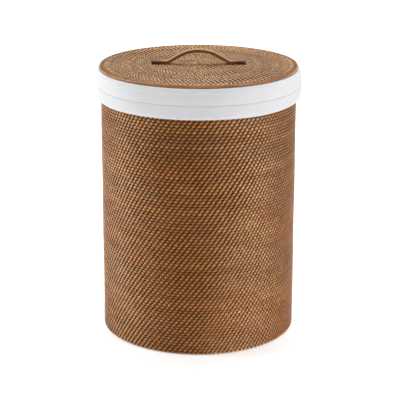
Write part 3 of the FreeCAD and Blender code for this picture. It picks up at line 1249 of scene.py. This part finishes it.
@dataclass
class CottonLiner:
    """The bag inside the basket, turned over the rim into a hemmed cuff."""

    looks: dict[str, bpy.types.Material]
    body: str = "liner"
    cloth: float = 1.2 * MM
    steps: int = 288
    stitch_length: float = 5.2 * MM
    tuck: float = 4.4 * MM
    notch: float = 0.34 * MM
    swell: Waves = ((0.55, 5, 0, 0.7), (0.40, 11, 40, 0.0), (0.25, 23, -60, 1.9))
    sag: Waves = ((1.2, 3, 0, 1.0), (0.6, 8, 0, 0.0))
    folds: Waves = ((1.6, 13, 3, 0.0), (1.2, 29, -5, 1.0), (0.8, 7, 9, 2.0))
    # where the cloth bends over the rim, in millimetres from its corners
    inner_bend: Profile = ((0.5, -0.9), (1.8, -0.1), (4, 0), (8, 0))
    outer_bend: Profile = ((-4, 0), (-1.9, -0.15), (-0.8, -0.7), (-0.2, -1.7), (0, -3.2))
    cuff_rows: tuple[float, ...] = (
        0.17, 0.24, 0.30, 0.36, 0.42, 0.48, 0.56, 0.65, 0.74, 0.82, 0.88
    )
    hem_rows: tuple[float, ...] = (
        0.2, 0.3, 0.4, 0.5, 0.6, 0.7, 0.78, 0.84, 0.89, 0.93, 0.965
    )

    def sizes(self) -> dict[str, float]:
        """Read the liner's main radii and heights from the model."""
        side_low, side_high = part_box("liner_side")
        cuff_low, cuff_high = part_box("liner_cuff")
        half = self.cloth / 2
        return {
            "inside": side_high.x - half,
            "floor": side_low.z + half,
            "outside": cuff_high.x - half,
            "top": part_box("liner_fold")[1].z - half,
            "seam": cuff_low.z,
            "edge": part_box("liner_hem")[0].z + half,
        }

    def slack(self, points: np.ndarray) -> np.ndarray:
        """Let the cloth of the cuff stand away from a true round.

        Args:
            points: vertices of a piece of the cuff.

        Returns:
            The moved vertices.
        """
        s = self.sizes()
        radius, angle = polar(points)
        height = points[:, 2]
        reach = np.clip((radius - s["inside"] - 8 * MM) / (6 * MM), 0, 1)
        top = np.clip((s["top"] - height) / (9 * MM), 0, 1)
        edge = np.clip((height - s["edge"]) / (14 * MM), 0.25, 1)
        near_seam = np.exp(-(((height - s["seam"]) / (5 * MM)) ** 2))
        right = 2.6 * MM * np.exp(-((angle / 0.30) ** 2))
        fold = 1.3 * MM * np.exp(-(((angle + 0.16) / 0.035) ** 2))
        pucker = waves(((0.16, 175, 0, 0.0),), angle) * near_seam
        crease_at = s["top"] - 12 * MM - waves(((1.5, 2, 0, 0.0),), angle)
        crease = -0.45 * MM * np.exp(-(((height - crease_at) / (1.1 * MM)) ** 2))
        out = waves(self.swell, angle, height) + right + fold + crease
        moved = pushed_out(points, out * reach * top * edge + pucker * reach)
        low = np.clip((s["seam"] - height) / (s["seam"] - s["edge"]), 0, 1)
        moved[:, 2] += waves(self.sag, angle) * low * reach * 0.6
        return moved

    def drape(self, points: np.ndarray) -> np.ndarray:
        """Give the hanging side of the bag soft upright folds.

        Args:
            points: vertices of the side.

        Returns:
            The moved vertices.
        """
        s = self.sizes()
        radius, angle = polar(points)
        height = points[:, 2]
        loose = np.clip((s["top"] - 20 * MM - height) / (120 * MM), 0, 1)
        loose *= np.clip((height - s["floor"]) / (60 * MM), 0.15, 1)
        inside = radius < s["inside"] + 2 * MM
        inward = 3.7 * MM + waves(self.folds, angle, height)
        return pushed_out(points, -inward * loose * inside)

    def sew(self, piece: bpy.types.Object, layers: float, *nodes: str) -> None:
        """Give a skin its thickness, half on each side, and dress it.

        Args:
            piece: the skin.
            layers: its thickness, in thicknesses of the cloth.
            *nodes: the CAD nodes it replaces.
        """
        apply_modifier(
            piece, "SOLIDIFY", thickness=self.cloth * layers, offset=0.0,
            use_even_offset=True,
        )
        smooth(piece, 60)
        dress(piece, self.looks["cotton"], self.body, "cotton", *nodes)

    def build_bag(self) -> None:
        """Build the cloth from the floor of the bag over the rim to the hem."""
        s = self.sizes()
        inside, outside, top, seam = s["inside"], s["outside"], s["top"], s["seam"]
        profile = [(inside, s["floor"] + z) for z in np.linspace(0, 0.5, 26)]
        profile += [(inside, top - d * MM) for d in (30, 22, 15, 9, 5, 2.6)]
        profile += [(inside + r * MM, top + z * MM) for r, z in self.inner_bend]
        profile += [(outside + r * MM, top + z * MM) for r, z in self.outer_bend]
        for share in self.cuff_rows:
            bulge = 0.5 * MM * math.sin(math.pi * share)
            profile.append((outside + bulge, top - (top - seam) * share))
        profile += [
            (outside, seam + 2.6 * MM), (outside - 0.15 * MM, seam + 1.1 * MM),
            (outside - self.notch, seam + 0.25 * MM),
        ]
        piece = spun("liner_cloth", profile, self.steps)
        set_points(piece, self.drape(self.slack(get_points(piece))))
        self.sew(piece, 1.0, "liner_side", "liner_fold", "liner_cuff")

    def build_hem(self) -> None:
        """Build the doubled hem that draws in to the wall at its lower edge."""
        s = self.sizes()
        outside, seam, edge = s["outside"], s["seam"], s["edge"]
        fall = seam - edge
        profile = [
            (outside - self.notch, seam - 0.25 * MM),
            (outside - 0.05 * MM, seam - 1.2 * MM),
            (outside + 0.25 * MM, seam - 3.2 * MM),
        ]
        for share in self.hem_rows:
            draw = max(0.0, (share - 0.78) / 0.22) ** 2.0
            profile.append((outside + 0.35 * MM - self.tuck * draw, seam - fall * share))
        for draw, lift in ((0.98, 0.25), (1.08, 0.05), (1.18, 0.55), (1.12, 2.0)):
            profile.append((outside - self.tuck * draw, edge + lift * MM))
        for share in (0.2, 0.35, 0.5, 0.7, 0.9):
            radius = outside - 1.5 * MM - self.tuck * 0.75 * (1 - share) ** 2
            profile.append((radius, edge + fall * share))
        piece = spun("liner_hem_fold", profile, self.steps)
        set_points(piece, self.slack(get_points(piece)))
        self.sew(piece, 0.9, "liner_hem")

    def build_floor(self) -> None:
        """Build the round floor of the bag, slightly crowned between its seams."""
        low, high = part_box("liner_base")
        radius = high.x
        middle = (low.z + high.z) / 2
        profile = [(radius * (1 - i / 20), middle) for i in range(20)] + [(0.0, middle)]
        piece = spun("liner_floor", profile, self.steps // 2)
        points = get_points(piece)
        x, y = points[:, 0], points[:, 1]
        lift = np.sin(x * 31 + 1.0) * np.cos(y * 27) + np.sin(x * 55 + y * 40)
        reach = polar(points)[0] / radius
        points[:, 2] += (0.9 * MM + 0.45 * MM * lift) * np.clip(1 - reach ** 6, 0, 1)
        set_points(piece, points)
        self.sew(piece, 1.0, "liner_base")

    def build_base_seam(self) -> None:
        """Build the seam allowance that joins the floor to the side."""
        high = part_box("base_seam")[1]
        outer = high.x - 0.4 * MM
        inner = outer - 9.2 * MM
        profile = [(radius, high.z + lift * MM) for radius, lift in (
            (outer, -0.6), (outer - 1.2 * MM, 0.4), (outer - 3.5 * MM, 0.7),
            (inner + 3 * MM, 0.4), (inner, 0.1),
        )]
        piece = spun("floor_seam", profile, 192)
        points = get_points(piece)
        radius, angle = polar(points)
        share = np.clip((outer - radius) / (outer - inner), 0, 1)
        points[:, 2] += 0.7 * MM * share * (1 + np.sin(48 * angle))
        set_points(piece, points)
        self.sew(piece, 0.6, "base_seam")

    def strip(
        self, name: str, low: Vector, high: Vector, bow: float
    ) -> bpy.types.Object:
        """Build an upright strip of cloth with slightly wavy edges.

        Args:
            name: the piece's name.
            low: lowest corner.
            high: highest corner.
            bow: how far the strip's long edges wander.

        Returns:
            The strip.
        """
        deselect_all()
        size = high - low
        bpy.ops.mesh.primitive_grid_add(
            x_subdivisions=6, y_subdivisions=max(8, int(size.z / 0.006)), size=1.0
        )
        piece = added(name)
        flat = get_points(piece)
        across, along = flat[:, 0], flat[:, 1] + 0.5
        points = np.stack([
            (low.x + high.x) / 2 + across * size.x,
            np.full(len(flat), (low.y + high.y) / 2),
            low.z + along * size.z,
        ], axis=1)
        edge = np.abs(across) * 2
        points[:, 0] += bow * np.sin(along * size.z * 130) * edge
        points[:, 1] += bow * 0.6 * np.sin(along * size.z * 90 + 1) * edge ** 3
        set_points(piece, points)
        layer = piece.data.uv_layers.active
        layer.name = "cloth"
        uv = np.empty(len(layer.data) * 2)
        layer.data.foreach_get("uv", uv)
        uv = uv.reshape(-1, 2) * (size.x, size.z)
        layer.data.foreach_set("uv", uv.ravel())
        return piece

    def hung(self, x: np.ndarray, z: np.ndarray) -> np.ndarray:
        """How far the folds carry points of the bag's back along Y."""
        inside = self.sizes()["inside"]
        line = np.stack([x, np.full(len(x), inside), z], axis=1)
        return self.drape(line)[:, 1] - inside

    def build_side_seam(self) -> None:
        """Build the upright seam at the back of the bag and on the cuff."""
        seam = self.strip("side_seam_strip", *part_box("side_seam"), 0.35 * MM)
        points = get_points(seam)
        points[:, 1] += self.hung(points[:, 0], points[:, 2]) - 0.2 * MM
        set_points(seam, points)
        self.sew(seam, 0.8, "side_seam")
        cuff = self.strip("cuff_seam_strip", *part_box("cuff_seam"), 0.2 * MM)
        points = get_points(cuff)
        points[:, 1] = self.slack(points)[:, 1] + 0.5 * MM
        set_points(cuff, points)
        self.sew(cuff, 0.5, "cuff_seam")

    def build_stitching(self) -> None:
        """Sew the hem and the side seam with separate stitches."""
        low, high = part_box("hem_stitching")
        outside = self.sizes()["outside"]
        count = int(2 * math.pi * high.x / self.stitch_length)
        angle = np.arange(count) * 2 * math.pi / count
        ring = self.slack(np.stack([
            outside * np.cos(angle), outside * np.sin(angle),
            np.full(count, (low.z + high.z) / 2),
        ], axis=1))
        out = unit(ring * (1, 1, 0))
        middle = ring + out * (self.cloth / 2 + 0.05 * MM)
        along = np.stack([-out[:, 1], out[:, 0], np.zeros(count)], axis=1)
        self.thread_row("hem_stitches", "hem_stitching", middle, along, out)

        low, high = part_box("seam_stitching")
        z = np.arange(low.z + 4 * MM, high.z - 14 * MM, self.stitch_length)
        z = np.tile(z, 2)
        x = np.repeat((low.x + 0.4 * MM, high.x - 0.4 * MM), len(z) // 2)
        line = np.stack([x, low.y + self.hung(x, z) - 0.15 * MM, z], axis=1)
        up = np.tile((0.0, 0.0, 1.0), (len(line), 1))
        inward = np.tile((0.0, -1.0, 0.0), (len(line), 1))
        self.thread_row("side_seam_stitches", "seam_stitching", line, up, inward)

    def thread_row(
        self, name: str, node: str, middle: np.ndarray, along: np.ndarray, out: np.ndarray
    ) -> None:
        """Copy one plump stitch of thread along a seam.

        Args:
            name: the piece's name.
            node: the CAD node it replaces.
            middle: centre of each stitch.
            along: direction of the seam at each.
            out: direction out of the cloth at each.
        """
        deselect_all()
        bpy.ops.mesh.primitive_uv_sphere_add(segments=6, ring_count=4, radius=1.0)
        form, faces = take_apart(added("stitch_bead"))
        form = form[:, (2, 0, 1)] * (self.stitch_length * 0.42, 0.38 * MM, 0.26 * MM)
        across = np.cross(out, along)
        points = (
            middle[:, None] + form[None, :, :1] * along[:, None]
            + form[None, :, 1:2] * across[:, None] + form[None, :, 2:] * out[:, None]
        )
        joined = [
            [v + number * len(form) for v in face]
            for number in range(len(middle)) for face in faces
        ]
        piece = mesh_piece(name, points.reshape(-1, 3), joined)
        face_outwards(piece, 1e-8)
        smooth(piece)
        dress(piece, self.looks["thread"], self.body, "thread", node)

    def build(self) -> None:
        """Build the whole liner."""
        self.build_bag()
        self.build_hem()
        self.build_floor()
        self.build_base_seam()
        self.build_side_seam()
        self.build_stitching()


@dataclass
class WovenLid:
    """The flat lid with its cane hoops, locating ring, nails and handle."""

    looks: dict[str, bpy.types.Material]
    body: str = "lid"
    strap_thickness: float = 6.6 * MM
    strap_corner: float = 1.5 * MM
    strap_bend: float = 12 * MM
    strap_crown: float = 79 * MM
    strap_slope: float = 30.0
    ring_width: float = 6.0 * MM
    wander: Waves = ((0.12, 5, 0, 1.0), (0.08, 13, 0, 0.0))

    def bound(self, coiling: Coiling, nodes: tuple[str, str], **options) -> None:
        """Dress a coiling of the lid's own rattan for its two nodes."""
        # the lid's cane wears the painted shade finish
        coiling.bind(
            self.body, (self.looks["lid"], self.looks["lid_core_shaded"]),
            ("lid_lashing", "cane_core"), nodes, **options,
        )

    def build_disc(self) -> None:
        """Build the flat spiral of the lid."""
        disc = FlatSpiral("lid_weave", seed=47).wind("lid_lashing")
        self.bound(disc, ("lid_lashing", "lid_coil"), ring_gap=0.010)

    def build_edge_lashing(self) -> None:
        """Carry the stitching of the last round over the inner hoop."""
        _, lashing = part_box("lid_lashing")
        low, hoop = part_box("lid_inner_hoop")
        course = round_of((lashing.x + hoop.x) / 2, (low.z + lashing.z) / 2, 8.9 * MM, 0.3)
        stitch = Stitch((hoop.x - lashing.x) / 2, (lashing.z - low.z) / 2 - Stitch.crown,
                        2.4 * MM, 1.0 * MM)
        edge = Coiling("lid_edge_weave", [course], stitch, Side.UPWARD, 2.0 * MM, seed=59)
        for piece in edge.build_lashing():
            dress(piece, self.looks["lid"], self.body, "lid_lashing", "lid_lashing")

    def build_hoop(
        self, node: str, inner: float, section_power: float, look: str, sink: float
    ) -> None:
        """Build a smooth hoop of peeled cane round the lid.

        Args:
            node: the CAD node it stands for.
            inner: the hoop's inner radius.
            section_power: 2 gives an oval section, more a squarer one.
            look: which finish it wears.
            sink: how far its top lies under the model's, beneath stitches.
        """
        low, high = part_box(node)
        high.z -= sink
        radius = (high.x + inner) / 2
        half_w, half_h = (high.x - inner) / 2, (high.z - low.z) / 2
        deselect_all()
        bpy.ops.mesh.primitive_torus_add(
            major_segments=288, minor_segments=20,
            major_radius=radius, minor_radius=min(half_w, half_h),
        )
        piece = added(node + "_cane")
        points = get_points(piece)
        reach, angle = polar(points)
        turn = np.arctan2(points[:, 2], reach - radius)
        side, rise = (
            np.sign(part) * np.abs(part) ** (2 / section_power)
            for part in (np.cos(turn), np.sin(turn))
        )
        wander = waves(self.wander, angle)
        reach = radius + half_w * side + wander * (side < 0)
        level = (low.z + high.z) / 2 + (wander / 2 - 0.1 * MM) * (rise > 0)
        set_points(piece, np.stack([
            reach * np.cos(angle), reach * np.sin(angle), level + half_h * rise,
        ], axis=1))
        store(piece, "grain", np.stack([
            angle * radius, turn * (half_w + half_h) / 2,
            np.full(len(angle), inner * 7),
        ], axis=1))
        smooth(piece)
        dress(piece, self.looks[look], self.body, "peeled_cane", node)

    def build_locating_ring(self) -> None:
        """Build the bound ring under the lid that centres it in the mouth."""
        low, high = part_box("ring_lashing")
        middle = high.x - self.ring_width / 2
        stitch = Stitch((high.z - low.z) / 2 - 0.75 * MM, self.ring_width / 2 - Stitch.crown,
                        3.3 * MM, 2.0 * MM)
        ring = Coiling(
            "locating_weave", [round_of(middle, (low.z + high.z) / 2, 9.2 * MM, 0.0)],
            stitch, Side.OUTWARD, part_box("locating_ring")[1].x - middle, seed=53,
            wobble=0.0,
        )
        self.bound(ring, ("ring_lashing", "locating_ring"))

    def strap_line(self) -> tuple[np.ndarray, np.ndarray]:
        """Follow the middle of the handle's strap.

        Returns:
            Points along the strap in X and Z, and the strap's slope at each.
        """
        low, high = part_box("handle_strap")
        half = high.x
        rise = high.z - low.z - self.strap_thickness
        bend, crown, ramp = self.strap_bend, self.strap_crown, math.radians(self.strap_slope)
        bend_half = bend * math.sin(ramp)
        bend_rise = bend * (1 - math.cos(ramp))
        run = (rise - bend_rise - crown * (1 - math.cos(ramp))) / math.tan(ramp)
        foot = half - crown * math.sin(ramp) - run - bend_half
        rising, falling = np.linspace(0, ramp, 7), np.linspace(ramp, 0, 14)
        straight = np.linspace(0.08, 0.92, 6) * run
        x = np.concatenate([
            np.linspace(0, foot * 0.98, 7), foot + bend * np.sin(rising),
            foot + bend_half + straight, half - crown * np.sin(falling),
        ]) - half
        z = np.concatenate([
            np.zeros(7), bend * (1 - np.cos(rising)),
            bend_rise + straight * math.tan(ramp), rise - crown * (1 - np.cos(falling)),
        ]) + low.z + self.strap_thickness / 2
        slope = np.concatenate([np.zeros(7), rising, np.full(6, ramp), falling])
        # the other half mirrors this one
        x, z, slope = (
            np.concatenate([part, sign * part[-2::-1]])
            for part, sign in ((x, -1), (z, 1), (slope, -1))
        )
        return np.stack([x, z], axis=1), slope

    def strap_section(self, half_w: float, half_t: float) -> tuple[np.ndarray, np.ndarray]:
        """Round the corners of the strap's section.

        Args:
            half_w: half of its width.
            half_t: half of its thickness.

        Returns:
            Points across and through the strap, in order round it.
        """
        deselect_all()
        bpy.ops.mesh.primitive_circle_add(vertices=20, radius=1.0, fill_type="NOTHING")
        ring, _ = take_apart(added("strap_section"))
        turn = np.mod(polar(ring)[1] + 0.01, 2 * math.pi)
        place = np.sort(np.floor(turn / (math.pi / 10)).astype(int))
        quarter = place // 5
        bent = (quarter + (place % 5) / 4) * math.pi / 2
        right = np.where((quarter == 0) | (quarter == 3), 1.0, -1.0)
        top = np.where(quarter < 2, 1.0, -1.0)
        corner = self.strap_corner
        return (right * (half_w - corner) + corner * np.cos(bent),
                top * (half_t - corner) + corner * np.sin(bent))

    def build_strap(self) -> None:
        """Bend a rounded strap over the middle of the lid."""
        low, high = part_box("handle_strap")
        half_t = self.strap_thickness / 2
        line, slope = self.strap_line()
        y, t = self.strap_section((high.y - low.y) / 2, half_t)
        # mask of the painted top light: 1 on the strap's upward face
        lit_top = np.clip((t - half_t + self.strap_corner) / self.strap_corner, 0, 1)
        length = np.concatenate([[0.0], np.cumsum(np.hypot(*np.diff(line, axis=0).T))])
        from_end = np.minimum(length, length[-1] - length)
        pinch = 1 - 0.30 * np.clip(1 - from_end / (3.5 * MM), 0, None) ** 2
        swell = 1 + 0.04 * np.sin(length * 60)
        points = np.stack([
            line[:, :1] - np.sin(slope)[:, None] * t,
            y * (pinch * swell)[:, None],
            line[:, 1:] + np.cos(slope)[:, None] * t,
        ], axis=2).reshape(-1, 3)
        grain = np.stack(np.broadcast_arrays(length[:, None], y, lit_top), axis=2)
        count, sides = len(line), len(y)
        start = np.arange((count - 1) * sides)
        ahead = start - start % sides + (start + 1) % sides
        faces = np.stack([start, ahead, ahead + sides, start + sides], axis=1).tolist()
        faces += [list(range(sides)), list(range((count - 1) * sides, count * sides))]
        piece = mesh_piece("handle_strap_cane", points, faces)
        store(piece, "grain", grain.reshape(-1, 3))
        face_outwards(piece, 1e-7)
        smooth(piece, EDGE_ANGLE)
        dress(piece, self.looks["strap"], self.body, "strap", "handle_strap")

    def dress_fixings(self) -> None:
        """Give the screws, washers and nails their own finishes."""
        for node, look in (("handle_screws", "steel"), ("handle_washers", "steel"),
                           ("hoop_nails", "nail")):
            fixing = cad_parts[node]
            if not fixing.material_slots:
                fixing.data.materials.append(self.looks[look])
            for slot in fixing.material_slots:
                slot.material = self.looks[look]

    def build(self) -> None:
        """Build the whole lid."""
        self.build_disc()
        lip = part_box("lid_inner_hoop")[1].x
        self.build_edge_lashing()
        self.build_hoop("lid_outer_hoop", lip + 0.05 * MM, 2.3, "hoop", 0.6 * MM)
        # the inner hoop wears the dark painted shade cane
        self.build_hoop("lid_inner_hoop", lip - 4.4 * MM, 2.4, "lid_core_shaded", 1.2 * MM)
        self.build_locating_ring()
        self.build_strap()
        self.dress_fixings()


@dataclass
class Studio:
    """Pale floor, soft lights and the camera."""

    target: tuple[float, float, float] = (0.0, 0.0, 0.272)
    camera_distance: float = 2.852
    camera_height: float = 1.1577
    camera_dip: float = 17.355
    sensor: float = 36.0
    lens_ratio: float = 3.5645
    aim_right: float = 0.066
    roll: float = 0.10
    surround: float = 0.30
    floor_size: float = 24.0
    # glow of the floor level with the basket, its gain for each metre behind, limits
    glow: tuple[float, float, float, float] = (0.50, 0.35, 0.05, 1.1)
    lamps: list[tuple[str, tuple, tuple, float]] = field(default_factory=lambda: [
        ("left_box", (-2.15, -0.25, 1.0), (0.8, 2.0), 25.0),
        ("right_box", (1.66, -1.26, 1.0), (0.8, 2.0), 20.0),
        ("top_box", (0.0, 0.55, 2.1), (1.4, 1.4), 27.0),
    ])

    def build_floor(self) -> None:
        """Lay a large pale floor that turns pure white behind the basket."""
        deselect_all()
        bpy.ops.mesh.primitive_plane_add(size=self.floor_size)
        floor = added("studio_floor")
        r = Recipe("pale_floor")
        place = r.place()
        r.colour(r.grey(r.math("MULTIPLY_ADD", r.noise(place, 3.0, 1.0), 0.02, 0.93)))
        level, gain, least, most = self.glow
        glow = r.math("MULTIPLY_ADD", r.split(place)[1], gain, level)
        glow = r.math("MAXIMUM", r.math("MINIMUM", glow, most), least)
        r.join(glow, r.surface.inputs["Emission Strength"])
        r.fixed(roughness=0.9, emission_color=WHITE)
        floor.data.materials.append(r.material)

    def build_lights(self) -> None:
        """Hang the soft boxes and set an even, dim surround."""
        for name, place, size, power in self.lamps:
            data = bpy.data.lights.new(name, "AREA")
            data.shape = "RECTANGLE"
            data.size, data.size_y = size
            data.energy = power
            lamp = bpy.data.objects.new(name, data)
            lamp.location = place
            aim = Vector(self.target) - Vector(place)
            lamp.rotation_euler = aim.to_track_quat("-Z", "Y").to_euler()
            bpy.context.collection.objects.link(lamp)
        world = bpy.data.worlds.new("surround")
        world.use_nodes = True
        sky = world.node_tree.nodes["Background"]
        sky.inputs["Color"].default_value = WHITE
        sky.inputs["Strength"].default_value = self.surround
        bpy.context.scene.world = world

    def build_camera(self) -> None:
        """Stand the camera in front, a little above the lid."""
        data = bpy.data.cameras.new("camera")
        data.sensor_width = self.sensor
        data.lens = self.sensor * self.lens_ratio
        camera = bpy.data.objects.new("camera", data)
        camera.location = (0.0, -self.camera_distance, self.camera_height)
        aim = Euler((math.radians(90 - self.camera_dip), 0.0,
                     -math.radians(self.aim_right)))
        roll = Quaternion((0.0, 0.0, 1.0), math.radians(self.roll))
        camera.rotation_mode = "QUATERNION"
        camera.rotation_quaternion = aim.to_quaternion() @ roll
        bpy.context.collection.objects.link(camera)
        bpy.context.scene.camera = camera

    def build(self) -> None:
        """Build the studio."""
        self.build_floor()
        self.build_lights()
        self.build_camera()
        bpy.context.scene.view_settings.view_transform = "Standard"


def main() -> None:
    """Build every sub-assembly."""
    logging.basicConfig(level=logging.INFO, format="%(name)s %(message)s")
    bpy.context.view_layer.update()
    Studio().build()
    looks = Palette().build()
    WovenBasket(looks).build()
    CottonLiner(looks).build()
    WovenLid(looks).build()


if __name__ == "__main__":
    main()
